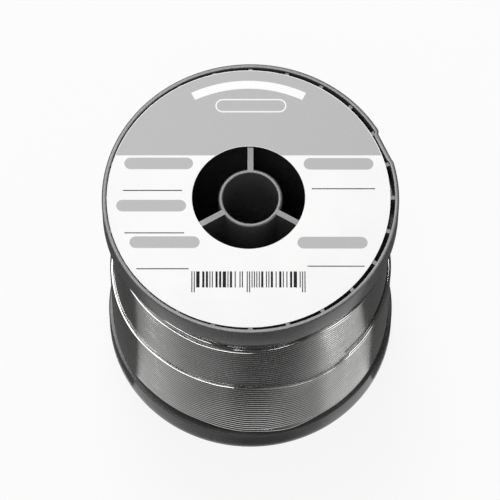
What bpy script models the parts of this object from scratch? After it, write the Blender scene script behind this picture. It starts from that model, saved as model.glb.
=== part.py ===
"""Solder wire spool of the 500 g size: a ribbed plastic reel full of 1 mm wire.

Units are metres and +Z is up. The origin is the middle of the face that the
reel stands on, and the reel's axis is Z. The pieces are two plastic mouldings,
each a ribbed flange with half of the drum and half of the hub, which plug
together halfway up, a paper ring on the upper face, and the wire. The wire is
a plain pack on the drum with the turns that show wound over it: a last layer
that stops about halfway up, the layer under it, which is bare from there to near
the upper flange, and the layer under that, which shows at the flange.
"""

import math

import bmesh
import bpy
from mathutils import Matrix, Vector

# Reel: two mouldings
FLANGE_RADIUS = 0.0315
REEL_HEIGHT = 0.0633
FLANGE_THICKNESS = 0.0065
FLANGE_PLATE = 0.0012
RIM_WALL = 0.0009
RIM_EDGE_RADIUS = 0.0005
FACE_RECESS = 0.0006
RIB_COUNT = 24
RIB_WIDTH = 0.0010
DRUM_RADIUS = 0.0180
DRUM_WALL = 0.0018
BORE_RADIUS = 0.0059
HUB_WALL = 0.0009
WEB_COUNT = 3
WEB_WIDTH = 0.00135
FIRST_WEB_ANGLE = math.radians(90)

# Joint between the two mouldings, inside the drum wall
SPIGOT_LENGTH = 0.0040
SPIGOT_WALL = 0.00075
JOINT_CLEARANCE = 0.0003

# Hollow in each rim, where the end of the wire is tucked in
NOTCH_DEPTH = 0.0005
NOTCH_BAY = 1
NOTCH_RISE_START = 0.10
NOTCH_DEEP_START = 0.66
NOTCH_DEEP_END = 0.82
NOTCH_RISE_END = 0.94

# Paper ring on the upper face
LABEL_MARGIN = 0.00055
LABEL_SHIFT = -0.0004
LABEL_HOLE_MARGIN = 0.0052
LABEL_THICKNESS = 0.00015
LABEL_CLEARANCE = 0.0002

# Wire: each modelled turn takes the room of about two turns of the real wire
TURN_DIAMETER = 0.0017
TURN_GAP = 0.00043
WIRE_CLEARANCE = 0.0003
LAST_LAYER_BELOW_RIM = 0.00117
LAST_LAYER_HEIGHT = 0.0236
SECOND_LAYER_SHORTFALL = 0.0068
LAYER_STEP = 0.00083
CROSSOVER_ANGLE = math.radians(-52)
CROSSOVER_SWEEP = math.radians(36)
WIRE_END_ANGLE = math.radians(-44)
POINTS_PER_TURN = 24

# Fineness of the round forms
ROUND_STEPS = 72
EDGE_STEPS = 3
NOTCH_STEPS = 16
OVERLAP = 0.0004

# Sizes that follow from those above
RIM_INNER_RADIUS = FLANGE_RADIUS - RIM_WALL
DRUM_INNER_RADIUS = DRUM_RADIUS - DRUM_WALL
HUB_RADIUS = BORE_RADIUS + HUB_WALL
HALF_HEIGHT = REEL_HEIGHT / 2
PLATE_BASE = HALF_HEIGHT - FLANGE_THICKNESS
PLATE_TOP = PLATE_BASE + FLANGE_PLATE
FACE_LEVEL = HALF_HEIGHT - FACE_RECESS
JOINT_LEVEL = JOINT_CLEARANCE / 2
SPIGOT_RADIUS = DRUM_INNER_RADIUS + SPIGOT_WALL
SOCKET_DEPTH = SPIGOT_LENGTH + JOINT_CLEARANCE
RIB_ROOT = DRUM_WALL / 3
WEB_ROOT = SPIGOT_WALL / 2

PLASTIC = ("reel_plastic", (0.062, 0.064, 0.067, 1.0), 0.42, 0.0)
PAPER = ("label_paper", (0.86, 0.86, 0.85, 1.0), 0.55, 0.0)
SOLDER = ("solder_wire", (0.60, 0.61, 0.62, 1.0), 0.28, 1.0)


def clear_scene():
    for item in list(bpy.data.objects):
        bpy.data.objects.remove(item, do_unlink=True)


def new_collection(name):
    collection = bpy.data.collections.new(name)
    bpy.context.scene.collection.children.link(collection)
    return collection


def material(name, colour, roughness, metallic):
    made = bpy.data.materials.new(name)
    made.use_nodes = True
    shader = made.node_tree.nodes["Principled BSDF"]
    shader.inputs["Base Color"].default_value = colour
    shader.inputs["Roughness"].default_value = roughness
    shader.inputs["Metallic"].default_value = metallic
    made.diffuse_color = colour
    return made


def add_object(name, data, collection):
    item = bpy.data.objects.new(name, data)
    collection.objects.link(item)
    return item


def as_cutter(item):
    item.hide_render = True
    item.display_type = "WIRE"
    return item


def polar(radius, angle, height=0.0):
    return Vector((radius * math.cos(angle), radius * math.sin(angle), height))


def arc(centre, radius, start, end, steps):
    """Points on an arc of a profile, as (distance from the axis, height)."""
    points = []
    for step in range(steps + 1):
        angle = start + (end - start) * step / steps
        points.append((centre[0] + radius * math.cos(angle), centre[1] + radius * math.sin(angle)))
    return points


def set_levels(vertices, low, high):
    """Put the vertices on exactly two levels, so that faces meant to be level are."""
    middle = (low + high) / 2
    for vertex in vertices:
        vertex.co.z = high if vertex.co.z > middle else low


def turned(name, profile, collection):
    """A ring turned about Z from a closed profile that runs down its outer side."""
    mesh = bpy.data.meshes.new(name)
    count = len(profile)
    edges = [(index, (index + 1) % count) for index in range(count)]
    mesh.from_pydata([(radius, 0.0, height) for radius, height in profile], edges, [])
    item = add_object(name, mesh, collection)
    screw = item.modifiers.new("turn", "SCREW")
    screw.axis = "Z"
    screw.angle = math.tau
    screw.steps = ROUND_STEPS
    screw.render_steps = ROUND_STEPS
    screw.use_merge_vertices = True
    screw.merge_threshold = 0.00001
    screw.use_smooth_shade = True
    return item


def radial_walls(name, count, first_angle, width, inner, outer, low, high, collection):
    """Flat upright walls that stand like spokes between two radii."""
    mesh = bpy.data.meshes.new(name)
    walls = bmesh.new()
    size = Vector((outer - inner, width, high - low))
    centre = Vector(((outer + inner) / 2, 0.0, (high + low) / 2))
    for index in range(count):
        turn = Matrix.Rotation(first_angle + math.tau * index / count, 4, "Z")
        place = turn @ Matrix.Translation(centre) @ Matrix.Diagonal(size.to_4d())
        bmesh.ops.create_cube(walls, size=1.0, matrix=place)
    set_levels(walls.verts, low, high)
    walls.to_mesh(mesh)
    walls.free()
    return add_object(name, mesh, collection)


def flat_slab(name, outline, low, high, collection):
    """A flat outline with straight upright sides between two heights, as a mesh."""
    curve = bpy.data.curves.new(name + "_outline", "CURVE")
    curve.dimensions = "2D"
    curve.fill_mode = "BOTH"
    curve.extrude = (high - low) / 2
    spline = curve.splines.new("POLY")
    spline.points.add(len(outline) - 1)
    for point, place in zip(spline.points, outline):
        point.co = (place.x, place.y, 0.0, 1.0)
    spline.use_cyclic_u = True
    drawn = add_object(name + "_outline", curve, collection)
    bpy.context.view_layer.update()
    evaluated = drawn.evaluated_get(bpy.context.evaluated_depsgraph_get())
    mesh = bpy.data.meshes.new_from_object(evaluated)
    slab = bmesh.new()
    slab.from_mesh(mesh)
    bmesh.ops.translate(slab, verts=slab.verts, vec=(0.0, 0.0, (high + low) / 2))
    set_levels(slab.verts, low, high)
    bmesh.ops.remove_doubles(slab, verts=slab.verts, dist=0.000001)
    bmesh.ops.recalc_face_normals(slab, faces=slab.faces)
    slab.to_mesh(mesh)
    slab.free()
    bpy.data.objects.remove(drawn, do_unlink=True)
    return add_object(name, mesh, collection)


def boolean(item, operation, other):
    step = item.modifiers.new(other.name, "BOOLEAN")
    step.operation = operation
    step.solver = "EXACT"
    step.object = other


def smoothstep(value):
    value = min(max(value, 0.0), 1.0)
    return value * value * (3.0 - 2.0 * value)


def notch_share(bay_share):
    """Depth of the rim's hollow, 0 to 1, along its bay: a slow rise and a steep end."""
    rise = (bay_share - NOTCH_RISE_START) / (NOTCH_DEEP_START - NOTCH_RISE_START)
    fall = (NOTCH_RISE_END - bay_share) / (NOTCH_RISE_END - NOTCH_DEEP_END)
    return min(smoothstep(rise), smoothstep(fall))


def notch_outline(far_radius, near_radius, depth):
    """A strip along the notch's bay; its near side steps in by the notch's depth."""
    bay = math.tau / RIB_COUNT
    far_side = []
    near_side = []
    for step in range(NOTCH_STEPS + 1):
        share = NOTCH_RISE_START + (NOTCH_RISE_END - NOTCH_RISE_START) * step / NOTCH_STEPS
        angle = (NOTCH_BAY + share) * bay
        far_side.append(polar(far_radius, angle))
        near_side.append(polar(near_radius - depth * notch_share(share), angle))
    return far_side + near_side[::-1]


def shell_profile(with_spigot):
    """Section of rim, plate and drum wall, from the rim's inner top edge round."""
    edge = RIM_EDGE_RADIUS
    corner = FLANGE_RADIUS - edge
    profile = [(RIM_INNER_RADIUS, HALF_HEIGHT)]
    profile += arc((corner, HALF_HEIGHT - edge), edge, math.radians(90), 0.0, EDGE_STEPS)
    profile += arc((corner, PLATE_BASE + edge), edge, 0.0, math.radians(-90), EDGE_STEPS)
    profile += [(DRUM_RADIUS, PLATE_BASE), (DRUM_RADIUS, JOINT_LEVEL)]
    if with_spigot:
        profile += [(SPIGOT_RADIUS, JOINT_LEVEL), (SPIGOT_RADIUS, -SPIGOT_LENGTH)]
        profile += [(DRUM_INNER_RADIUS, -SPIGOT_LENGTH)]
    else:
        profile += [(DRUM_INNER_RADIUS, JOINT_LEVEL)]
    profile += [(DRUM_INNER_RADIUS, FACE_LEVEL), (DRUM_RADIUS, FACE_LEVEL)]
    profile += [(DRUM_RADIUS, PLATE_TOP), (RIM_INNER_RADIUS, PLATE_TOP)]
    return profile


def moulding(name, with_spigot, parts, cutters):
    """Half of the reel, flange up, with the joint at height zero."""
    half = turned(name, shell_profile(with_spigot), parts)

    rib_start = DRUM_RADIUS - RIB_ROOT
    web_end = DRUM_INNER_RADIUS + WEB_ROOT
    rim_middle = FLANGE_RADIUS - RIM_WALL / 2
    ribs = radial_walls(
        name + "_ribs", RIB_COUNT, 0.0, RIB_WIDTH, rib_start, rim_middle,
        PLATE_TOP - FLANGE_PLATE / 2, FACE_LEVEL, cutters)
    webs = radial_walls(
        name + "_webs", WEB_COUNT, FIRST_WEB_ANGLE, WEB_WIDTH,
        BORE_RADIUS + HUB_WALL / 2, web_end, JOINT_LEVEL, FACE_LEVEL, cutters)
    hub_section = [
        (HUB_RADIUS, FACE_LEVEL), (HUB_RADIUS, JOINT_LEVEL),
        (BORE_RADIUS, JOINT_LEVEL), (BORE_RADIUS, FACE_LEVEL)]
    hub = turned(name + "_hub", hub_section, cutters)
    backing = flat_slab(
        name + "_notch_backing",
        notch_outline(RIM_INNER_RADIUS + OVERLAP, RIM_INNER_RADIUS + OVERLAP / 4,
                      NOTCH_DEPTH + OVERLAP / 4),
        PLATE_TOP - FLANGE_PLATE / 2, HALF_HEIGHT, cutters)
    hollow = flat_slab(
        name + "_notch", notch_outline(FLANGE_RADIUS + OVERLAP, FLANGE_RADIUS, NOTCH_DEPTH),
        PLATE_BASE - OVERLAP, HALF_HEIGHT + OVERLAP, cutters)
    joined = [ribs, webs, hub, backing]
    cut = [hollow]
    if not with_spigot:
        inner = DRUM_INNER_RADIUS - JOINT_CLEARANCE
        outer = SPIGOT_RADIUS + JOINT_CLEARANCE
        socket_section = [
            (outer, SOCKET_DEPTH), (outer, JOINT_LEVEL - OVERLAP),
            (inner, JOINT_LEVEL - OVERLAP), (inner, SOCKET_DEPTH)]
        cut.append(turned(name + "_socket", socket_section, cutters))
    for other in joined:
        boolean(half, "UNION", as_cutter(other))
    for other in cut:
        boolean(half, "DIFFERENCE", as_cutter(other))
    return half, joined + cut


def stand_upright(item, flange_up):
    """Move a piece built about the joint to its place halfway up the reel."""
    flip = Matrix.Identity(4) if flange_up else Matrix.Diagonal((-1.0, 1.0, -1.0, 1.0))
    item.matrix_basis = Matrix.Translation((0.0, 0.0, HALF_HEIGHT)) @ flip @ item.matrix_basis


def build_reel(parts, cutters):
    plastic = material(*PLASTIC)
    for name, flange_up in (("upper_spool_half", True), ("lower_spool_half", False)):
        half, helpers = moulding(name, flange_up, parts, cutters)
        half.data.materials.append(plastic)
        stand_upright(half, flange_up)
        for helper in helpers:
            stand_upright(helper, flange_up)


def build_label(parts):
    """A paper ring on the rib ends, a little off the reel's axis."""
    radius = RIM_INNER_RADIUS - LABEL_MARGIN
    hole_radius = HUB_RADIUS + LABEL_HOLE_MARGIN
    base = REEL_HEIGHT - FACE_RECESS + LABEL_CLEARANCE
    top = base + LABEL_THICKNESS
    label = turned(
        "face_label",
        [(radius, top), (radius, base), (hole_radius, base), (hole_radius, top)], parts)
    label.location.x = LABEL_SHIFT
    label.data.materials.append(material(*PAPER))


def winding_path(radius, first_height, rise, turns):
    """Points of turns laid clockwise: level, but for the crossover in each of them."""
    end_sweep = math.tau * turns + CROSSOVER_ANGLE - WIRE_END_ANGLE
    steps = int((end_sweep - CROSSOVER_SWEEP) / math.tau * POINTS_PER_TURN) - 1
    points = []
    for step in range(steps, -1, -1):
        sweep = end_sweep - math.tau * step / POINTS_PER_TURN
        turn, phase = divmod(sweep, math.tau)
        height = first_height + rise * (turn - 1 + smoothstep(phase / CROSSOVER_SWEEP))
        points.append(polar(radius, CROSSOVER_ANGLE - sweep, height))
    return points


def with_straight_ends(points):
    """The path with a straight run of one wire diameter added at each end."""
    first = polar(1.0, math.atan2(points[0].y, points[0].x) + math.pi / 2)
    last = polar(1.0, math.atan2(points[-1].y, points[-1].x) - math.pi / 2)
    return [points[0] + first * TURN_DIAMETER] + points + [points[-1] + last * TURN_DIAMETER]


def least_gap(points):
    """Least gap between a tube along the points and itself, half a turn on or more."""
    least = math.inf
    apart = POINTS_PER_TURN // 2
    for index, point in enumerate(points):
        for other in range(index + apart, len(points) - 1):
            start, end = points[other], points[other + 1]
            along = end - start
            share = (point - start).dot(along) / along.length_squared
            nearest = start + along * min(max(share, 0.0), 1.0)
            least = min(least, (point - nearest).length)
    return least - TURN_DIAMETER


def wire_tube(name, points, parts):
    """One unbroken length of wire along a path, with flat cut ends."""
    curve = bpy.data.curves.new(name, "CURVE")
    curve.dimensions = "3D"
    curve.bevel_depth = TURN_DIAMETER / 2
    curve.bevel_resolution = 1
    curve.use_fill_caps = True
    spline = curve.splines.new("POLY")
    spline.points.add(len(points) - 1)
    for point, place in zip(spline.points, points):
        point.co = place.to_4d()
    print(name, "least gap to itself, mm:", round(least_gap(points) * 1000, 3))
    return add_object(name, curve, parts)


def wound_stretch(name, radius, low, high, climbs, parts):
    """The turns of one layer that fill the height between two levels."""
    turns = int((high - low - TURN_DIAMETER) / (TURN_DIAMETER + TURN_GAP)) + 1
    lowest = low + TURN_DIAMETER / 2
    highest = high - TURN_DIAMETER / 2
    rise = (highest - lowest) / (turns - 1)
    if climbs:
        path = winding_path(radius, lowest, rise, turns)
    else:
        path = winding_path(radius, highest, -rise, turns)
    return wire_tube(name, with_straight_ends(path), parts)


def build_wire(parts):
    chord_sag = math.cos(math.pi / POINTS_PER_TURN)
    room_inside = TURN_DIAMETER / 2 + WIRE_CLEARANCE
    pack_low = FLANGE_THICKNESS + WIRE_CLEARANCE
    pack_high = REEL_HEIGHT - FLANGE_THICKNESS - WIRE_CLEARANCE

    # Each stretch lies a layer deeper than the one below it, and its lowest turn
    # rests against the highest turn of that one.
    reach = TURN_DIAMETER + WIRE_CLEARANCE
    nesting_rise = math.sqrt(max(reach * reach - LAYER_STEP * LAYER_STEP, 0.0)) - TURN_DIAMETER
    stretches = (
        ("wire_last_layer", FLANGE_THICKNESS + LAST_LAYER_HEIGHT, True),
        ("wire_second_layer", REEL_HEIGHT - FLANGE_THICKNESS - SECOND_LAYER_SHORTFALL, False),
        ("wire_third_layer", pack_high, True))
    radius = FLANGE_RADIUS - LAST_LAYER_BELOW_RIM - TURN_DIAMETER / 2
    low = pack_low
    pieces = []
    steps = []
    for name, high, climbs in stretches:
        pieces.append(wound_stretch(name, radius, low, high, climbs, parts))
        level = max(low - WIRE_CLEARANCE, pack_low)
        if steps:
            steps.append((steps[-1][0], level))
        steps.append((radius * chord_sag - room_inside, level))
        radius -= LAYER_STEP
        low = high + nesting_rise

    # All the layers below these, as one plain stepped pack.
    inner_radius = DRUM_RADIUS + WIRE_CLEARANCE
    steps.append((steps[-1][0], pack_high))
    steps += [(inner_radius, pack_high), (inner_radius, pack_low)]
    pieces.append(turned("wire_inner_layers", steps[::-1], parts))

    solder = material(*SOLDER)
    for piece in pieces:
        piece.data.materials.append(solder)


def main():
    clear_scene()
    parts = new_collection("solder_wire_spool")
    cutters = new_collection("cutters")
    build_reel(parts, cutters)
    build_label(parts)
    build_wire(parts)


main()
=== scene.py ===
"""The looks of the solder wire spool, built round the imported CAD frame.

Metres, +Z up. The reel's axis is Z, and its front, the side that the camera sees,
faces -Y. The CAD's faceted solids are replaced piece by piece with finer ones: two
ribbed mouldings, a printed paper ring, and 1 mm solder wire laid turn by turn.
"""

import math
import random

import bmesh
import bpy
from mathutils import Matrix, Vector, noise


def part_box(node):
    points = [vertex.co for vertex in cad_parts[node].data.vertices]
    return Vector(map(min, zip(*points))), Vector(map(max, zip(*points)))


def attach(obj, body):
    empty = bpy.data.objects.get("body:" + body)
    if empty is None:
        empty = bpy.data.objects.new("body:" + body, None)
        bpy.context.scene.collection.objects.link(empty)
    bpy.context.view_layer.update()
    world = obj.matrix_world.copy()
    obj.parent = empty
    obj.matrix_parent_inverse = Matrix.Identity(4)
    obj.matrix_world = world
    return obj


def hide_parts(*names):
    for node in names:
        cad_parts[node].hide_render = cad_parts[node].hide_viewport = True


MM = 0.001
BODY = "root"

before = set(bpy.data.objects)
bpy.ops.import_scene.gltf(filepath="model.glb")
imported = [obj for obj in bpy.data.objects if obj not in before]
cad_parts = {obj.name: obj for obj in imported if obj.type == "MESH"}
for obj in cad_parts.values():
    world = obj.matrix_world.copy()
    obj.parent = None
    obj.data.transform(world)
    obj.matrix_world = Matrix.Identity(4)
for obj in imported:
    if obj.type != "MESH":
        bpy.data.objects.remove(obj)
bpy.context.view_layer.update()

# Sizes read off the frame
reel_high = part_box("upper_spool_half")[1]
label_low, label_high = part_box("face_label")
last_layer_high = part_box("wire_last_layer")[1]
FLANGE_RADIUS = reel_high.x
REEL_HEIGHT = reel_high.z
HALF_HEIGHT = REEL_HEIGHT / 2

# Reel mouldings
FLANGE_THICKNESS = 6.5 * MM
FLANGE_PLATE = 1.2 * MM
RIM_WALL = 0.9 * MM
RIM_OUTER_EDGE = 0.28 * MM
RIM_INNER_EDGE = 0.08 * MM
FACE_RECESS = 0.6 * MM
RIB_COUNT = 24
RIB_WIDTH = 1.0 * MM
RIB_DRAFT = 0.06 * MM
RIB_ABOVE_FACE = 0.15 * MM
DRUM_RADIUS = 18.0 * MM
DRUM_WALL = 1.8 * MM
BORE_RADIUS = 5.9 * MM
HUB_WALL = 0.9 * MM
WEB_COUNT = 3
WEB_WIDTH = 1.35 * MM
FIRST_WEB_ANGLE = math.radians(90)
JOINT_CLEARANCE = 0.3 * MM
SPIGOT_LENGTH = 4.0 * MM
SPIGOT_WALL = 0.75 * MM
SMALL_EDGE = 0.14 * MM
HUB_EDGE = 0.35 * MM
PLATE_FILLET = 0.4 * MM
BAY_FILLET = 0.3 * MM

# Between two ribs the rim is pressed in to a straight wall, deeper at its far end.
NOTCH_BAY = 1
NOTCH_START_DEPTH = 0.08 * MM
NOTCH_END_DEPTH = 0.42 * MM
NOTCH_EASE = 0.10
NOTCH_THINNER = 0.12 * MM

# Steps round the reel, round the notch's bay and round the hub
TURNED_STEPS = 240
NOTCH_STEPS = 24
HUB_STEPS = 96

# Both mouldings are one plastic. The lower one's grey is darkened as painted shade, for the dimmer
# light it gets near the floor.
UPPER_GREY, LOWER_GREY_PAINTED_SHADE = 0.075, 0.036

RIM_INNER_RADIUS = FLANGE_RADIUS - RIM_WALL
DRUM_INNER_RADIUS = DRUM_RADIUS - DRUM_WALL
HUB_RADIUS = BORE_RADIUS + HUB_WALL
PLATE_BASE = HALF_HEIGHT - FLANGE_THICKNESS
PLATE_TOP = PLATE_BASE + FLANGE_PLATE
FACE_LEVEL = HALF_HEIGHT - FACE_RECESS
JOINT_LEVEL = JOINT_CLEARANCE / 2
SPIGOT_RADIUS = DRUM_INNER_RADIUS + SPIGOT_WALL

scene = bpy.context.scene
rng = random.Random(5)


# ------------------------------------------------------------------ helpers

def add_mesh(name, mesh):
    item = bpy.data.objects.new(name, mesh)
    scene.collection.objects.link(item)
    return item


def remove(item):
    bpy.data.objects.remove(item, do_unlink=True)


def shade(mesh, sharp_angle=32):
    mesh.shade_smooth()
    mesh.set_sharp_from_angle(angle=math.radians(sharp_angle))


def polar(radius, angle, height=0.0):
    return Vector((radius * math.cos(angle), radius * math.sin(angle), height))


def steps_round(count):
    return [math.tau * step / count for step in range(count)]


def arc(centre, radius, start, end, steps):
    """Points on an arc of a section, as (distance from the axis, height)."""
    points = []
    for step in range(steps + 1):
        angle = math.radians(start + (end - start) * step / steps)
        points.append((centre[0] + radius * math.cos(angle), centre[1] + radius * math.sin(angle)))
    return points


def smoothstep(value):
    value = min(max(value, 0.0), 1.0)
    return value * value * (3.0 - 2.0 * value)


def blend_points(knots, where):
    """The value at a place, eased between (place, value) knots in rising order."""
    if where <= knots[0][0]:
        return knots[0][1]
    for (start, low), (end, high) in zip(knots, knots[1:]):
        if where <= end:
            return low + (high - low) * smoothstep((where - start) / (end - start))
    return knots[-1][1]


def lathe(name, section, angles, inset=None):
    """A closed section turned about Z; inset(radius, angle) moves points inwards."""
    mesh = bpy.data.meshes.new(name)
    shell = bmesh.new()
    rings = []
    for angle in angles:
        ring = []
        for radius, height in section:
            shift = inset(radius, angle) if inset else 0.0
            ring.append(shell.verts.new(polar(radius - shift, angle, height)))
        rings.append(ring)
    count = len(section)
    for ring, following in zip(rings, rings[1:] + rings[:1]):
        for index in range(count):
            after = (index + 1) % count
            shell.faces.new((ring[index], ring[after], following[after], following[index]))
    bmesh.ops.recalc_face_normals(shell, faces=shell.faces)
    shell.to_mesh(mesh)
    shell.free()
    return add_mesh(name, mesh)


def rounded_wall(solid, inner, outer, width, low, high, draft, edge):
    """An upright wall along X, a little narrower at its rounded top."""
    made = bmesh.ops.create_cube(solid, size=1.0)
    length = outer - inner
    for vertex in made["verts"]:
        half = width / 2 - (draft if vertex.co.z > 0 else 0.0)
        vertex.co = Vector((
            inner + length * (vertex.co.x + 0.5), math.copysign(half, vertex.co.y),
            high if vertex.co.z > 0 else low))
    edges = {e for v in made["verts"] for e in v.link_edges}
    along_top = [e for e in edges if all(v.co.z == high for v in e.verts)
                 and abs(e.verts[0].co.y - e.verts[1].co.y) < edge]
    bmesh.ops.bevel(
        solid, geom=along_top, offset=edge, segments=3, profile=0.5, affect="EDGES")


def walls(name, count, first_angle, inner, outer, width, low, high, draft, edge):
    """Equal walls like spokes, evenly spaced round the axis."""
    mesh = bpy.data.meshes.new(name)
    joined = bmesh.new()
    for index in range(count):
        solid = bmesh.new()
        rounded_wall(solid, inner, outer, width, low, high, draft, edge)
        bmesh.ops.rotate(
            solid, verts=solid.verts,
            matrix=Matrix.Rotation(first_angle + math.tau * index / count, 3, "Z"))
        solid.to_mesh(mesh)
        joined.from_mesh(mesh)
        solid.free()
    joined.to_mesh(mesh)
    joined.free()
    return add_mesh(name, mesh)


def apply_modifiers(item):
    bpy.context.view_layer.update()
    evaluated = item.evaluated_get(bpy.context.evaluated_depsgraph_get())
    mesh = bpy.data.meshes.new_from_object(evaluated)
    item.modifiers.clear()
    item.data = mesh


def unite(item, others):
    """Fuse other closed meshes into one, then delete them."""
    for other in others:
        step = item.modifiers.new(other.name, "BOOLEAN")
        step.operation = "UNION"
        step.solver = "EXACT"
        step.object = other
    apply_modifiers(item)
    for other in others:
        remove(other)


def dress(item, material, slot_name, *nodes):
    """Give a piece its finish and its body, and the CAD nodes that it replaces."""
    item.data.materials.clear()
    item.data.materials.append(material)
    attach(item, BODY)
    if nodes:
        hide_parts(*nodes)


# ------------------------------------------------------------------ materials

class Nodes:
    """Shorthand for building a material's node tree."""

    def __init__(self, name):
        self.material = bpy.data.materials.new(name)
        self.material.use_nodes = True
        self.tree = self.material.node_tree
        self.shader = self.tree.nodes["Principled BSDF"]
        self.place = self.add("ShaderNodeTexCoord").outputs["Object"]

    def add(self, kind, **settings):
        node = self.tree.nodes.new(kind)
        for key, value in settings.items():
            setattr(node, key, value)
        return node

    def link(self, source, target):
        self.tree.links.new(source, target)

    def noise(self, scale, detail=3.0, roughness=0.55, place=None):
        node = self.add("ShaderNodeTexNoise")
        node.inputs["Scale"].default_value = scale
        node.inputs["Detail"].default_value = detail
        node.inputs["Roughness"].default_value = roughness
        self.link(place or self.place, node.inputs["Vector"])
        return node.outputs["Fac"]

    def ramp(self, value, low, high, out_low=0.0, out_high=1.0):
        node = self.add("ShaderNodeMapRange")
        node.inputs["From Min"].default_value = low
        node.inputs["From Max"].default_value = high
        node.inputs["To Min"].default_value = out_low
        node.inputs["To Max"].default_value = out_high
        self.link(value, node.inputs["Value"])
        return node.outputs["Result"]

    def math(self, operation, first, second=None):
        node = self.add("ShaderNodeMath", operation=operation)
        for socket, value in zip(node.inputs, (first, second)):
            if value is None:
                continue
            if isinstance(value, (int, float)):
                socket.default_value = value
            else:
                self.link(value, socket)
        return node.outputs[0]

    def length(self, across, along):
        squares = (self.math("MULTIPLY", across, across), self.math("MULTIPLY", along, along))
        return self.math("SQRT", self.math("ADD", *squares))

    def plan(self):
        """X, Y and the distance from the reel's axis."""
        split = self.add("ShaderNodeSeparateXYZ")
        self.link(self.place, split.inputs[0])
        x, y = split.outputs["X"], split.outputs["Y"]
        return x, y, self.length(x, y)

    def mix(self, share, first, second):
        node = self.add("ShaderNodeMix", data_type="RGBA")
        self.link(share, node.inputs["Factor"])
        for socket, colour in ((node.inputs[6], first), (node.inputs[7], second)):
            if isinstance(colour, tuple):
                socket.default_value = (*colour, 1.0)
            else:
                self.link(colour, socket)
        return node.outputs[2]

    def bump(self, height, distance, strength=1.0, under=None):
        node = self.add("ShaderNodeBump")
        node.inputs["Strength"].default_value = strength
        node.inputs["Distance"].default_value = distance
        self.link(height, node.inputs["Height"])
        if under is not None:
            self.link(under, node.inputs["Normal"])
        return node.outputs["Normal"]

    def surface(self, source):
        self.link(source, self.tree.nodes["Material Output"].inputs["Surface"])


def plastic_material(name, grey):
    """Dark grey moulded polystyrene: satin, faintly mottled, with fine handling marks."""
    n = Nodes(name)
    mottle = n.noise(420.0, detail=4.0)
    cloud = n.noise(60.0, detail=2.0)
    colour = n.mix(n.ramp(mottle, 0.3, 0.7), (grey,) * 3, (grey * 1.2,) * 3)
    n.link(colour, n.shader.inputs["Base Color"])
    rough = n.math("ADD", n.ramp(mottle, 0.3, 0.7, 0.24, 0.29), n.ramp(cloud, 0.3, 0.7, 0.0, 0.05))
    n.link(rough, n.shader.inputs["Roughness"])
    n.shader.inputs["IOR"].default_value = 1.59
    grain = n.noise(5200.0, detail=2.0)
    ripple = n.noise(240.0, detail=2.0)
    normal = n.bump(ripple, 0.05 * MM, 0.5, under=n.bump(grain, 0.006 * MM, 0.5))
    n.link(normal, n.shader.inputs["Normal"])
    return n.material


def paper_material():
    """White coated label paper."""
    n = Nodes("label_paper_white")
    fibre = n.noise(2600.0, detail=4.0)
    cloud = n.noise(90.0, detail=2.0)
    colour = n.mix(n.ramp(cloud, 0.3, 0.7), (0.85, 0.85, 0.85), (0.88, 0.88, 0.875))
    n.link(colour, n.shader.inputs["Base Color"])
    n.link(n.ramp(fibre, 0.3, 0.7, 0.48, 0.60), n.shader.inputs["Roughness"])
    n.link(n.bump(fibre, 0.004 * MM, 0.5), n.shader.inputs["Normal"])
    return n.material


def ink_material(name, grey, spread=0.03, rough=0.42, gloss=0.5):
    """Printing ink: flat grey, a little uneven where the paper's tooth shows."""
    n = Nodes(name)
    tooth = n.noise(3400.0)
    colour = n.mix(n.ramp(tooth, 0.35, 0.7), (grey,) * 3, (grey + spread,) * 3)
    n.link(colour, n.shader.inputs["Base Color"])
    n.link(n.ramp(tooth, 0.3, 0.7, rough, rough + 0.1), n.shader.inputs["Roughness"])
    n.shader.inputs["Specular IOR Level"].default_value = gloss
    return n.material


def solder_material():
    """Bright drawn solder with faint marks along the wire and duller patches."""
    n = Nodes("solder_wire_drawn")
    run = n.add("ShaderNodeAttribute", attribute_name="along").outputs["Vector"]
    marks = n.noise(1.0, roughness=0.6, place=run)
    cloud = n.noise(140.0)
    dull = n.math("MULTIPLY", n.ramp(cloud, 0.35, 0.75), n.ramp(marks, 0.3, 0.7, 0.4, 1.0))
    n.link(n.mix(dull, (0.72, 0.72, 0.71), (0.62, 0.62, 0.61)), n.shader.inputs["Base Color"])
    n.link(n.ramp(marks, 0.25, 0.75, 0.12, 0.16), n.shader.inputs["Roughness"])
    n.link(n.bump(marks, 0.003 * MM, 0.3), n.shader.inputs["Normal"])
    n.shader.inputs["Metallic"].default_value = 1.0
    return n.material


# ------------------------------------------------------------------ reel

def rim_inset(radius, angle):
    """How far the rim's wall is pressed in, where the wire's end is tucked in."""
    if radius < RIM_INNER_RADIUS - RIM_INNER_EDGE:
        return 0.0
    bay = math.tau / RIB_COUNT
    share = angle / bay - NOTCH_BAY
    if not 0.0 < share < 1.0:
        return 0.0
    chord = FLANGE_RADIUS * math.cos(bay / 2) / math.cos((share - 0.5) * bay)
    depth = FLANGE_RADIUS - chord
    depth += NOTCH_START_DEPTH + (NOTCH_END_DEPTH - NOTCH_START_DEPTH) * share
    if radius < RIM_INNER_RADIUS + 2 * RIM_INNER_EDGE:
        depth += NOTCH_THINNER
    return depth * min(smoothstep(share / NOTCH_EASE), smoothstep((1 - share) / NOTCH_EASE))


def turned_angles():
    """Even steps round the reel, with finer ones in the notch's bay."""
    bay = math.tau / RIB_COUNT
    start, end = NOTCH_BAY * bay, (NOTCH_BAY + 1) * bay
    angles = [a for a in steps_round(TURNED_STEPS) if a < start - 1e-6 or a > end - 1e-6]
    angles += [start + bay * step / NOTCH_STEPS for step in range(NOTCH_STEPS)]
    return sorted(angles)


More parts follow.
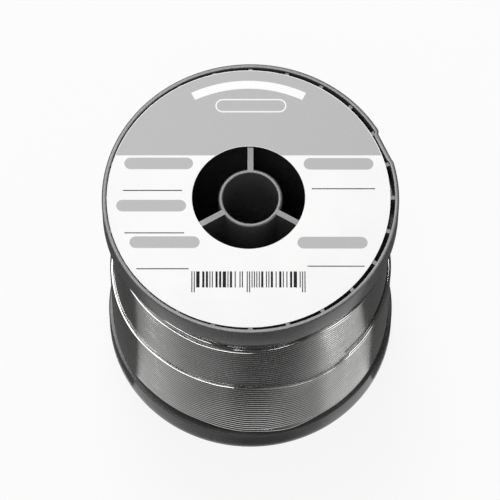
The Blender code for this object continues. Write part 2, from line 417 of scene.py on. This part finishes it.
def outer_side():
    """Rim, flange plate and drum wall of one half, flange up, joint at height zero."""
    outer, inner = RIM_OUTER_EDGE, RIM_INNER_EDGE
    side = arc((RIM_INNER_RADIUS + inner, HALF_HEIGHT - inner), inner, 180, 90, 3)
    side += arc((FLANGE_RADIUS - outer, HALF_HEIGHT - outer), outer, 90, 0, 6)
    side += arc((FLANGE_RADIUS - outer, PLATE_BASE + outer), outer, 0, -90, 6)
    side += arc(
        (DRUM_RADIUS + PLATE_FILLET, PLATE_BASE - PLATE_FILLET), PLATE_FILLET, 90, 180, 4)
    return side + [(DRUM_RADIUS, JOINT_LEVEL)]


def inner_side():
    """The drum's inner wall up to the face, and the bay floor back to the rim."""
    small, fillet = SMALL_EDGE, BAY_FILLET
    side = arc((DRUM_INNER_RADIUS + small, FACE_LEVEL - small), small, 180, 90, 3)
    side += arc((DRUM_RADIUS - small, FACE_LEVEL - small), small, 90, 0, 3)
    side += arc((DRUM_RADIUS + fillet, PLATE_TOP + fillet), fillet, 180, 270, 4)
    side += arc((RIM_INNER_RADIUS - fillet, PLATE_TOP + fillet), fillet, 270, 360, 4)
    return side


def upper_section():
    """The upper half's drum ends in a spigot."""
    small = SMALL_EDGE
    spigot = [
        (SPIGOT_RADIUS, JOINT_LEVEL), (SPIGOT_RADIUS, small - SPIGOT_LENGTH),
        (SPIGOT_RADIUS - small, -SPIGOT_LENGTH), (DRUM_INNER_RADIUS, -SPIGOT_LENGTH)]
    return outer_side() + spigot + inner_side()


def lower_section():
    """The lower half's drum ends in a socket for the spigot."""
    radius = SPIGOT_RADIUS + JOINT_CLEARANCE
    depth = SPIGOT_LENGTH + JOINT_CLEARANCE
    socket = [(radius, JOINT_LEVEL), (radius, depth), (DRUM_INNER_RADIUS, depth)]
    return outer_side() + socket + inner_side()


def moulding(name, section):
    half = lathe(name, section, turned_angles(), rim_inset)
    ribs = walls(
        name + "_ribs", RIB_COUNT, 0.0, DRUM_RADIUS - DRUM_WALL / 3, FLANGE_RADIUS - RIM_WALL / 2,
        RIB_WIDTH, PLATE_TOP - FLANGE_PLATE / 2, FACE_LEVEL + RIB_ABOVE_FACE, RIB_DRAFT,
        SMALL_EDGE)
    webs = walls(
        name + "_webs", WEB_COUNT, FIRST_WEB_ANGLE, BORE_RADIUS + HUB_WALL / 2,
        DRUM_INNER_RADIUS + SPIGOT_WALL / 2, WEB_WIDTH, JOINT_LEVEL, FACE_LEVEL, RIB_DRAFT,
        SMALL_EDGE)
    small = SMALL_EDGE
    hub_section = arc((BORE_RADIUS + small, FACE_LEVEL - small), small, 180, 90, 3)
    hub_section += arc((HUB_RADIUS - HUB_EDGE, FACE_LEVEL - HUB_EDGE), HUB_EDGE, 90, 0, 5)
    hub_section += [(HUB_RADIUS, JOINT_LEVEL), (BORE_RADIUS, JOINT_LEVEL)]
    hub = lathe(name + "_hub", hub_section, steps_round(HUB_STEPS))
    unite(half, [hub, webs, ribs])
    return half


def build_reel():
    up = Matrix.Translation((0.0, 0.0, HALF_HEIGHT))
    turned_over = Matrix.Diagonal((-1.0, 1.0, -1.0, 1.0))
    upper = moulding("reel_half_upper", upper_section())
    upper.data.transform(up)
    lower = moulding("reel_half_lower", lower_section())
    lower.data.transform(up @ turned_over)
    # The lower half takes the darker grey, painted shade rather than a plastic of its own.
    for item, node, grey in (
            (upper, "upper_spool_half", UPPER_GREY), (lower, "lower_spool_half", LOWER_GREY_PAINTED_SHADE)):
        shade(item.data)
        dress(item, plastic_material(item.name + "_plastic", grey), "reel_plastic", node)


# ------------------------------------------------------------------ label

LABEL_CENTRE = Vector(((label_low.x + label_high.x) / 2, 0.0, 0.0))
LABEL_RADIUS = (label_high.x - label_low.x) / 2
LABEL_HOLE_RADIUS = HUB_RADIUS + 5.2 * MM
LABEL_EDGE = 0.02 * MM
LABEL_STEPS = 240
INK = 0.012 * MM
INK_LIFT = 0.002 * MM

# The label's grey head reaches down to this chord, and keeps off the paper's edges.
HEAD_CHORD = 9.85 * MM
HEAD_OUTER_MARGIN = 0.15 * MM
HEAD_HOLE_MARGIN = 0.1 * MM

# What follows is in millimetres: pills as x0, x1, y0, y1, rules as x0, x1, y
PILLS = (
    (-26.8, -12.2, 6.6, 9.3), (-28.4, -13.6, -3.3, -0.6), (-25.5, -10.7, -11.8, -9.1),
    (11.3, 26.1, 6.5, 9.2), (9.9, 24.7, -11.9, -9.2))
FIELD_RULES = (
    (-27.0, -14.5, 1.6), (-26.6, -14.0, -8.3), (-24.0, -13.0, -16.6),
    (13.0, 26.4, 2.0), (12.0, 24.0, -16.0))
RULE_HALF_WIDTH = 0.11
FRAME_PILL = (-7.5, 7.7, 20.0, 23.2)
FRAME_LINE = 0.3
# White arc: radius, height, and its ends in degrees
WHITE_ARC = (26.6, 1.9, 63.5, 116.5)
ARC_STEP = 3
# Bars: the field's x0, x1, y0, y1, its division, and how the guard bars stand out
CODE_BARS = (-12.4, 11.6, -20.9, -17.2)
CODE_MODULES = 95
CODE_GUARD_LENGTH = 1.1
CODE_BAR_GAP = 0.04


def drawn(name, outlines, low, high):
    """A flat shape with straight sides, from outlines in the label's plane."""
    curve = bpy.data.curves.new(name, "CURVE")
    curve.dimensions = "2D"
    curve.fill_mode = "BOTH"
    curve.extrude = (high - low) / 2
    for points in outlines:
        spline = curve.splines.new("POLY")
        spline.points.add(len(points) - 1)
        for point, (x, y) in zip(spline.points, points):
            point.co = (x, y, 0.0, 1.0)
        spline.use_cyclic_u = True
    holder = add_mesh(name, curve)
    holder.location.z = (high + low) / 2
    bpy.context.view_layer.update()
    mesh = bpy.data.meshes.new_from_object(
        holder.evaluated_get(bpy.context.evaluated_depsgraph_get()))
    mesh.transform(holder.matrix_world)
    remove(holder)
    return mesh


def print_piece(name, outlines, low, high, ink):
    dress(add_mesh(name, drawn(name, outlines, low, high)), ink, "label_paper")


def circle_points(centre_x, radius, start, end, steps):
    points = []
    for step in range(steps + 1):
        angle = start + (end - start) * step / steps
        points.append((centre_x + radius * math.cos(angle), radius * math.sin(angle)))
    return points


def pill(x0, x1, y0, y1):
    """A rounded bar between two corners, in millimetres."""
    radius = (y1 - y0) / 2
    points = []
    for centre, start in ((x1 - radius, -90), (x0 + radius, 90)):
        for step in range(13):
            angle = math.radians(start + 180 * step / 12)
            points.append(((centre + radius * math.cos(angle)) * MM,
                           (y0 + radius + radius * math.sin(angle)) * MM))
    return points


def box_points(x0, x1, y0, y1):
    return [(x0 * MM, y0 * MM), (x1 * MM, y0 * MM), (x1 * MM, y1 * MM), (x0 * MM, y1 * MM)]


def arc_band(radius, height, start, end):
    """A band that follows the label's edge, in millimetres and degrees."""
    steps = max(int(abs(end - start) / ARC_STEP), 2)
    start, end = math.radians(start), math.radians(end)
    outer = circle_points(LABEL_CENTRE.x, (radius + height / 2) * MM, start, end, steps)
    inner = circle_points(LABEL_CENTRE.x, (radius - height / 2) * MM, end, start, steps)
    return outer + inner


def head_outline():
    """The part of the label above a straight edge, cut by the hole."""
    outer = LABEL_RADIUS - HEAD_OUTER_MARGIN
    hole = LABEL_HOLE_RADIUS + HEAD_HOLE_MARGIN
    outer_angle = math.asin(HEAD_CHORD / outer)
    hole_angle = math.asin(HEAD_CHORD / hole)
    outline = circle_points(LABEL_CENTRE.x, outer, outer_angle, math.pi - outer_angle, 80)
    return outline + circle_points(LABEL_CENTRE.x, hole, math.pi - hole_angle, hole_angle, 24)


def code_bars():
    """Upright bars of uneven widths that stand for no number, in two groups."""
    x0, x1, y0, y1 = CODE_BARS
    module = (x1 - x0) / CODE_MODULES
    middle, last = CODE_MODULES // 2, CODE_MODULES - 1
    guards = (0, 2, middle - 1, middle + 1, last - 2, last)
    bars = [(start, 1, CODE_GUARD_LENGTH) for start in guards]
    for first, end in ((4, guards[2] - 1), (guards[3] + 2, guards[4] - 1)):
        place = first
        while place < end:
            width = min(rng.choice((1, 1, 2, 2, 3)), end - place)
            bars.append((place, width, 0.0))
            place += width + rng.choice((1, 1, 2, 3))
    return [
        box_points(x0 + start * module, x0 + (start + width) * module - CODE_BAR_GAP,
                   y0 - longer, y1)
        for start, width, longer in bars]


def build_label():
    paper = lathe(
        "label_paper_ring",
        [(LABEL_RADIUS, label_low.z), (LABEL_RADIUS, label_high.z - LABEL_EDGE),
         (LABEL_RADIUS - LABEL_EDGE, label_high.z), (LABEL_HOLE_RADIUS, label_high.z),
         (LABEL_HOLE_RADIUS, label_low.z)],
        steps_round(LABEL_STEPS))
    paper.data.transform(Matrix.Translation(LABEL_CENTRE))
    shade(paper.data)
    dress(paper, paper_material(), "label_paper", "face_label")

    grey = ink_material("ink_grey", 0.40)
    dark = ink_material("ink_dark", 0.012, spread=0.01, rough=0.75, gloss=0.15)
    white = ink_material("ink_white", 0.85)

    base = label_high.z + INK_LIFT
    top = base + INK
    print_piece("label_print_head", [head_outline()], base, top, grey)
    print_piece("label_print_pills", [pill(*corners) for corners in PILLS], base, top, grey)
    rules = [box_points(x0, x1, y - RULE_HALF_WIDTH, y + RULE_HALF_WIDTH)
             for x0, x1, y in FIELD_RULES]
    print_piece("label_print_lines", rules + code_bars(), base, top, dark)

    # White ink lies on the grey.
    high = top + INK
    x0, x1, y0, y1 = FRAME_PILL
    line = FRAME_LINE
    opening = pill(x0 + line, x1 - line, y0 + line, y1 - line)[::-1]
    print_piece("label_print_frame", [pill(*FRAME_PILL), opening], top, high, white)
    print_piece("label_print_arc", [arc_band(*WHITE_ARC)], top, high, white)


# ------------------------------------------------------------------ wire

# The drawn winding is a little fuller than the CAD's.
WIRE_RADIUS = 0.5 * MM
WINDING_FULLER = 0.35 * MM
LAST_RADIUS = last_layer_high.x - WIRE_RADIUS + WINDING_FULLER
LAYER_STEP = 0.83 * MM
STEPS_PER_TURN = 180
TUBE_SIDES = 12

# Unevenness of the turns, outwards and upwards, and how fast it changes round the reel
# and from turn to turn
WOBBLE_OUT = 0.03 * MM
WOBBLE_UP = 0.012 * MM
WOBBLE_ROUND = 2.2
WOBBLE_TURN = 0.35

# Scale of the marks along the wire, per metre, and round it
MARKS_ALONG = 90.0
MARKS_ROUND = 3.0

# The wire runs clockwise seen from above, so azimuths fall along it, and they are
# unrolled: one turn on is 360 degrees less. Heights are in millimetres.

# Last layer. Once a turn the wire crosses to the next place up. The crossings' middle
# and half width drift from the lowest to the highest, and are counted from an azimuth
# that is clear of them.
LAST_START, LAST_END = -100.0, -46.0 - 360.0 * 22
LAST_CROSSINGS = 21
CROSSING_LOW, CROSSING_HIGH = (-102.0, 10.0), (-75.0, 17.0)
COUNTING_AZIMUTH = -40.0
# Middle of the lowest turn, and the pitch above it, round the reel
LAST_BASE = (
    (-360, 7.0), (-160, 7.05), (-150, 7.2), (-137, 7.45), (-121, 7.7), (-112, 7.72), (-100, 7.3),
    (-92, 7.0), (0, 7.0))
LAST_PITCH = (
    (-360, 1.03), (-185, 1.02), (-162, 1.01), (-150, 1.03), (-142, 1.043), (-131, 1.07),
    (-121, 1.064), (-112, 1.069), (-95, 1.095), (-60, 1.034), (-53, 1.026), (-46, 1.04),
    (-34, 1.018), (-15, 1.02), (0, 1.03))
# The wire climbs from the layer below, this long after its start and over this length,
# in degrees, and humps over the first turn: azimuth, half width, height
LAST_CLIMB_WAIT, LAST_CLIMB = 10, 40
HUMP_AZIMUTH, HUMP_HALF, HUMP_HEIGHT = -434, 16, 0.45
# The wire's end stands off and above the turn below it
END_LENGTH = 60
END_LIFT = ((0, 1.3), (6, 1.4), (14, 1.5), (26, 1.2), (END_LENGTH, 0.0))
END_STAND_OFF = 0.25

# Second layer, from its top edge down: its first turn, then the one below, whose shape
# the rest repeat and slowly lose
SECOND_PITCH = 1.045
SECOND_START, SECOND_TURNS = -12.0, 22
SECOND_CLIMB = 18
SECOND_JOIN, SECOND_JOIN_TOP = -404, 48.0
SECOND_FIRST = (
    (SECOND_JOIN, SECOND_JOIN_TOP), (-384, 46.5), (-260, 50.5), (-180, 51.8), (-141, 51.8),
    (-123, 51.3), (-109, 50.65), (-96, 49.6), (-84, 49.25), (-62, 50.1), (-22, 47.6),
    (-12, 47.6))
SECOND_NEXT = (
    (SECOND_JOIN - 360, SECOND_JOIN_TOP - SECOND_PITCH), (-744, 45.45), (-620, 48.2),
    (-540, 48.5), (-488, 48.65), (-470, 48.05), (-444, 48.15), (-422, 49.05),
    (SECOND_JOIN, SECOND_JOIN_TOP))
SECOND_SETTLING = 15.0

# Third layer: level turns that step down within this share of each turn
THIRD_START, THIRD_TURNS, THIRD_PITCH = -60.0, 10, 1.03
THIRD_CROSSING = 0.1

# Turns below those that show, as one ring with a grooved side and steps at these heights
INNER_STEPS = (28 * MM, 46.5 * MM)
INNER_PITCH = 1.03 * MM
GROOVE_ANGLES = (-80, -50, -20, 20, 50, 80)
INNER_TURNED_STEPS = 144
FLANGE_GAP = 0.05 * MM
DRUM_GAP = 0.2 * MM


def tube(name, points, radius):
    """A closed round tube along points, its length kept as an attribute for the finish."""
    mesh = bpy.data.meshes.new(name)
    solid = bmesh.new()
    along = solid.verts.layers.float_vector.new("along")
    rings = []
    length = 0.0
    last = len(points) - 1
    for index, point in enumerate(points):
        before, after = points[max(index - 1, 0)], points[min(index + 1, last)]
        tangent = (after - before).normalized()
        outwards = Vector((point.x, point.y, 0.0))
        outwards = (outwards - tangent * outwards.dot(tangent)).normalized()
        upwards = tangent.cross(outwards)
        if index:
            length += (point - points[index - 1]).length
        ring = []
        for angle in steps_round(TUBE_SIDES):
            across, up = math.cos(angle), math.sin(angle)
            vertex = solid.verts.new(point + (outwards * across + upwards * up) * radius)
            vertex[along] = (length * MARKS_ALONG, across * MARKS_ROUND, up * MARKS_ROUND)
            ring.append(vertex)
        rings.append(ring)
    for ring, following in zip(rings, rings[1:]):
        for side in range(TUBE_SIDES):
            after = (side + 1) % TUBE_SIDES
            solid.faces.new((ring[side], ring[after], following[after], following[side]))
    for ring in (rings[0], rings[-1]):
        solid.faces.new(ring)
    bmesh.ops.recalc_face_normals(solid, faces=solid.faces)
    solid.to_mesh(mesh)
    solid.free()
    shade(mesh, 50)
    return add_mesh(name, mesh)


def wobble(angle, turn, seed, amount):
    """Small unevenness of a turn: neighbouring turns share most of it."""
    place = Vector((
        math.cos(angle) * WOBBLE_ROUND, math.sin(angle) * WOBBLE_ROUND,
        turn * WOBBLE_TURN + seed))
    return noise.noise(place) * amount


def wound(name, start, end, height_of, radius_of):
    """Wire laid clockwise between two unrolled azimuths, in degrees."""
    steps = int((start - end) / 360 * STEPS_PER_TURN)
    points = []
    for step in range(steps + 1):
        azimuth = start + (end - start) * step / steps
        turn = -azimuth / 360
        angle = math.radians(azimuth)
        radius = radius_of(azimuth) + wobble(angle, turn, 1.0, WOBBLE_OUT)
        height = height_of(azimuth) + wobble(angle, turn, 7.0, WOBBLE_UP)
        points.append(polar(radius, angle, height))
    return tube(name, points, WIRE_RADIUS)


def crossings(azimuth):
    """How many times the last layer's wire has stepped up a turn, by this azimuth."""
    number = math.floor((COUNTING_AZIMUTH - azimuth) / 360)
    share = min(max((number - 1) / (LAST_CROSSINGS - 1), 0.0), 1.0)
    middle = CROSSING_LOW[0] + (CROSSING_HIGH[0] - CROSSING_LOW[0]) * share
    half = CROSSING_LOW[1] + (CROSSING_HIGH[1] - CROSSING_LOW[1]) * share
    passed = (middle - 360 * number + half - azimuth) / (2 * half)
    return max(number - 1 + smoothstep(passed), 0.0)


def last_height(azimuth):
    round_place = azimuth % 360 - 360
    height = blend_points(LAST_BASE, round_place)
    height += blend_points(LAST_PITCH, round_place) * crossings(azimuth)
    return (height + blend_points(END_LIFT, azimuth - LAST_END)) * MM


def last_radius(azimuth):
    climb = smoothstep((LAST_START - LAST_CLIMB_WAIT - azimuth) / LAST_CLIMB)
    hump = smoothstep(1 - abs(azimuth - HUMP_AZIMUTH) / HUMP_HALF)
    sprung = smoothstep(1 - (azimuth - LAST_END) / END_LENGTH)
    layer = LAST_RADIUS - LAYER_STEP * (1 - climb)
    return layer + (HUMP_HEIGHT * hump + END_STAND_OFF * sprung) * MM


def second_height(azimuth):
    if azimuth > SECOND_JOIN:
        top = blend_points(SECOND_FIRST, azimuth)
    else:
        share = (SECOND_JOIN - azimuth) / 360
        turns = math.floor(share)
        even = SECOND_JOIN_TOP - SECOND_PITCH * share
        shape = blend_points(SECOND_NEXT, azimuth + 360 * turns) - SECOND_PITCH * turns
        top = even + (shape - even) * math.exp(-share / SECOND_SETTLING)
    return top * MM - WIRE_RADIUS


def second_radius(azimuth):
    climb = smoothstep((SECOND_START - azimuth) / SECOND_CLIMB)
    return LAST_RADIUS - LAYER_STEP * (2 - climb)


def third_height(azimuth):
    left = THIRD_TURNS + (azimuth - THIRD_START) / 360
    whole = math.floor(left)
    steps = whole + smoothstep((left - whole - (1 - THIRD_CROSSING)) / THIRD_CROSSING)
    top = REEL_HEIGHT - FLANGE_THICKNESS - FLANGE_GAP
    return top - WIRE_RADIUS - THIRD_PITCH * steps * MM


def third_radius(azimuth):
    return LAST_RADIUS - 2 * LAYER_STEP


def scalloped(radius, low, high):
    """The side of a stack of turns, up the outside, as half rounds."""
    count = max(round((high - low) / INNER_PITCH), 1)
    pitch = (high - low) / count
    side = []
    for turn in range(count):
        middle = low + pitch * (turn + 0.5)
        for angle in map(math.radians, GROOVE_ANGLES):
            side.append((radius - WIRE_RADIUS + WIRE_RADIUS * math.cos(angle),
                         middle + pitch / 2 * math.sin(angle)))
    return side


def inner_layers():
    low, high = FLANGE_THICKNESS + FLANGE_GAP, REEL_HEIGHT - FLANGE_THICKNESS - FLANGE_GAP
    levels = (low, *INNER_STEPS, high)
    side = []
    for depth, (base, top) in enumerate(zip(levels, levels[1:]), start=1):
        side += scalloped(LAST_RADIUS + WIRE_RADIUS - depth * LAYER_STEP, base, top)
    inside = DRUM_RADIUS + DRUM_GAP
    inner = lathe(
        "wire_turns_inner_layers", side[::-1] + [(inside, low), (inside, high)],
        steps_round(INNER_TURNED_STEPS))
    shade(inner.data, 70)
    return inner


def build_wire():
    solder = solder_material()
    last = wound("wire_turns_last_layer", LAST_START, LAST_END, last_height, last_radius)
    second = wound(
        "wire_turns_second_layer", SECOND_START, SECOND_START - 360 * SECOND_TURNS,
        second_height, second_radius)
    third = wound(
        "wire_turns_third_layer", THIRD_START, THIRD_START - 360 * THIRD_TURNS,
        third_height, third_radius)
    for item, node in ((last, "wire_last_layer"), (second, "wire_second_layer"),
                       (third, "wire_third_layer"), (inner_layers(), "wire_inner_layers")):
        dress(item, solder, "solder_wire", node)


# ------------------------------------------------------------------ studio

# Camera, as the photograph's: one metre off, looking down at the front
VIEW_DISTANCE = 1.010
VIEW_ELEVATION = math.radians(65.72)
VIEW_FOCUS = Vector((0.0, 0.0, 28.0 * MM))
FRAME_PIXELS = 500
FOCAL_PIXELS = 4620.0
FOCUS_PIXEL = (250.44, 265.36)
SENSOR = 36.0

# Lamps: azimuth, elevation, distance, width, height, brightness as a white of 1, and
# whether gloss alone shows them
LAMPS = {
    "key": (103, 66, 0.70, 0.24, 0.42, 8.0, False),
    "front": (-113, 66, 0.80, 0.30, 0.22, 3.5, False),
    "left": (-178, 50, 0.70, 0.62, 0.60, 2.0, True),
    "right": (-19, 36, 0.60, 0.28, 0.27, 1.8, True)}
WORLD_LIGHT = 0.46

FLOOR_WHITE = 0.80
FLOOR_GLOW = 0.87
FLOOR_RADIUS = 3.0
FLOOR_THICKNESS = 2 * MM
# Under the reel the floor has no light of its own, out to this far from its axis.
UNDER_REEL = (0.0295, 0.0310)

# Glowing screen round the set, no lamp, seen in the metal alone, where its tones paint the
# reflections: its ring on the floor starts outside the reel
SCREEN_START = 0.0317
SCREEN_RADIUS = 1.2
SCREEN_TOP = 1.3
SCREEN_SKIN = 1 * MM
SCREEN_LIFT = (0.3 * MM, 0.6 * MM)
# How bright it is by angle, from the side (0 degrees) to the front (90), about a point
# this far up Y
SCREEN_MIDDLE = -0.011
SCREEN_LEFT = (
    (0, 0.06), (13.5, 0.06), (13.8, 0.36), (36, 0.31), (52, 0.19), (68, 0.13), (80, 0.08),
    (90, 0.05))
SCREEN_RIGHT = (
    (0, 0.06), (9.5, 0.06), (10, 0.44), (38, 0.37), (48, 0.20), (68, 0.07), (80, 0.05),
    (90, 0.05))
# Strength from beside the reel outwards: distances, strengths
SCREEN_FADE = (0.04, 0.13, 1.9, 1.0)
# A pale ring of the glowing screen in front, a painted reflection of the floor that shows in the
# lowest turns: from, to, and how bright
NEAR_FLOOR = (0.0355, 0.047, 0.60)
NEAR_FLOOR_EDGES = (0.001, 0.006)
NEAR_FLOOR_TURN = (0.5, 0.8)
STAGE_STEPS = 180
AXIS_HOLE = 0.1 * MM


def build_camera():
    back = Vector((0.0, -math.cos(VIEW_ELEVATION), math.sin(VIEW_ELEVATION)))
    up = Vector((0.0, math.sin(VIEW_ELEVATION), math.cos(VIEW_ELEVATION)))
    data = bpy.data.cameras.new("camera")
    data.sensor_width = SENSOR
    data.lens = FOCAL_PIXELS * SENSOR / FRAME_PIXELS
    data.clip_start = 0.05
    data.clip_end = 20.0
    camera = bpy.data.objects.new("camera", data)
    scene.collection.objects.link(camera)
    camera.location = VIEW_FOCUS + back * VIEW_DISTANCE
    middle = FRAME_PIXELS / 2
    scale = VIEW_DISTANCE / FOCAL_PIXELS
    aim = VIEW_FOCUS + Vector(((middle - FOCUS_PIXEL[0]) * scale, 0.0, 0.0))
    aim += up * (FOCUS_PIXEL[1] - middle) * scale
    camera.rotation_mode = "QUATERNION"
    camera.rotation_quaternion = (aim - camera.location).to_track_quat("-Z", "Y")
    scene.camera = camera


def soft_box(name, azimuth, elevation, distance, width, height, radiance, only_gloss):
    """A rectangular lamp that faces the object."""
    data = bpy.data.lights.new(name, "AREA")
    data.shape = "RECTANGLE"
    data.size = width
    data.size_y = height
    data.energy = radiance * math.pi * width * height
    lamp = bpy.data.objects.new(name, data)
    scene.collection.objects.link(lamp)
    a, e = math.radians(azimuth), math.radians(elevation)
    lamp.location = VIEW_FOCUS + distance * Vector((
        math.cos(a) * math.cos(e), math.sin(a) * math.cos(e), math.sin(e)))
    lamp.rotation_mode = "QUATERNION"
    lamp.rotation_quaternion = (VIEW_FOCUS - lamp.location).to_track_quat("-Z", "Y")
    lamp.visible_camera = False
    lamp.visible_diffuse = not only_gloss


def floor_surface():
    """White paper, lit from below for the camera and for what mirrors it."""
    n = Nodes("floor_white")
    cloud = n.noise(9.0, detail=2.0)
    colour = n.mix(cloud, (FLOOR_WHITE,) * 3, (FLOOR_WHITE * 1.03,) * 3)
    n.link(colour, n.shader.inputs["Base Color"])
    n.shader.inputs["Roughness"].default_value = 0.9
    n.shader.inputs["Specular IOR Level"].default_value = 0.0
    path = n.add("ShaderNodeLightPath").outputs
    seen = n.math("MAXIMUM", path["Is Camera Ray"], path["Is Glossy Ray"])
    seen = n.math("MAXIMUM", seen, path["Is Transmission Ray"])
    _, _, out = n.plan()
    glow = n.ramp(out, *UNDER_REEL, 0.0, FLOOR_GLOW)
    mixed = n.add("ShaderNodeMixShader")
    n.link(n.math("MULTIPLY", seen, glow), mixed.inputs["Fac"])
    n.link(n.shader.outputs[0], mixed.inputs[1])
    n.link(n.add("ShaderNodeEmission").outputs[0], mixed.inputs[2])
    n.surface(mixed.outputs[0])
    return n.material


def colour_stops(n, share, knots):
    """A grey by angle: share is 0 at the side and 1 at the front."""
    ramp = n.add("ShaderNodeValToRGB")
    points = ramp.color_ramp.elements
    while len(points) < len(knots):
        points.new(0.5)
    for point, (degrees, level) in zip(points, knots):
        point.position = degrees / 90
        point.color = (level, level, level, 1.0)
    n.link(share, ramp.inputs["Fac"])
    return ramp.outputs["Color"]


def screen_surface():
    """A glowing screen, no lamp, whose tones paint the reflections in the metal: dark at the back
    and front and pale beside the set.
    """
    n = Nodes("screen_painted_reflections")
    x, y, out = n.plan()
    ahead = n.math("SUBTRACT", SCREEN_MIDDLE, y)
    sine = n.math("DIVIDE", ahead, n.length(x, ahead))
    share = n.math("DIVIDE", n.math("ARCSINE", sine), math.pi / 2)
    left, right = (colour_stops(n, share, knots) for knots in (SCREEN_LEFT, SCREEN_RIGHT))
    level = n.mix(n.math("GREATER_THAN", x, 0.0), left, right)

    near, far, pale = NEAR_FLOOR
    near_edge, far_edge = NEAR_FLOOR_EDGES
    ring = n.math(
        "MULTIPLY", n.ramp(out, near, near + near_edge), n.ramp(out, far, far - far_edge))
    ring = n.math("MULTIPLY", ring, n.ramp(share, *NEAR_FLOOR_TURN))

    glow = n.add("ShaderNodeEmission")
    n.link(n.mix(ring, level, (pale,) * 3), glow.inputs["Color"])
    n.link(n.ramp(out, *SCREEN_FADE), glow.inputs["Strength"])
    n.surface(glow.outputs[0])
    return n.material


def build_stage():
    """White sky and floor, and a glowing screen that shows in the metal alone, as painted
    reflections.
    """
    world = bpy.data.worlds.new("studio")
    scene.world = world
    world.use_nodes = True
    sky = world.node_tree.nodes["Background"]
    sky.inputs["Color"].default_value = (1.0, 1.0, 1.0, 1.0)
    sky.inputs["Strength"].default_value = WORLD_LIGHT

    floor = lathe(
        "floor",
        [(AXIS_HOLE, 0.0), (FLOOR_RADIUS, 0.0), (FLOOR_RADIUS, -FLOOR_THICKNESS),
         (AXIS_HOLE, -FLOOR_THICKNESS)],
        steps_round(STAGE_STEPS))
    floor.data.materials.append(floor_surface())

    low, high = SCREEN_LIFT
    hole = 5 * AXIS_HOLE
    screen = lathe(
        "screen",
        [(SCREEN_START, high), (SCREEN_RADIUS, high), (SCREEN_RADIUS, SCREEN_RADIUS),
         (hole, SCREEN_TOP), (hole, SCREEN_TOP + SCREEN_SKIN),
         (SCREEN_RADIUS + SCREEN_SKIN, SCREEN_RADIUS + SCREEN_SKIN),
         (SCREEN_RADIUS + SCREEN_SKIN, low), (SCREEN_START, low)],
        steps_round(STAGE_STEPS))
    screen.data.materials.append(screen_surface())
    for kind in ("camera", "diffuse", "shadow", "transmission", "volume_scatter"):
        setattr(screen, "visible_" + kind, False)


build_reel()
build_label()
build_wire()
build_camera()
build_stage()
for lamp_name, lamp_settings in LAMPS.items():
    soft_box(lamp_name, *lamp_settings)

scene.view_settings.view_transform = "Standard"
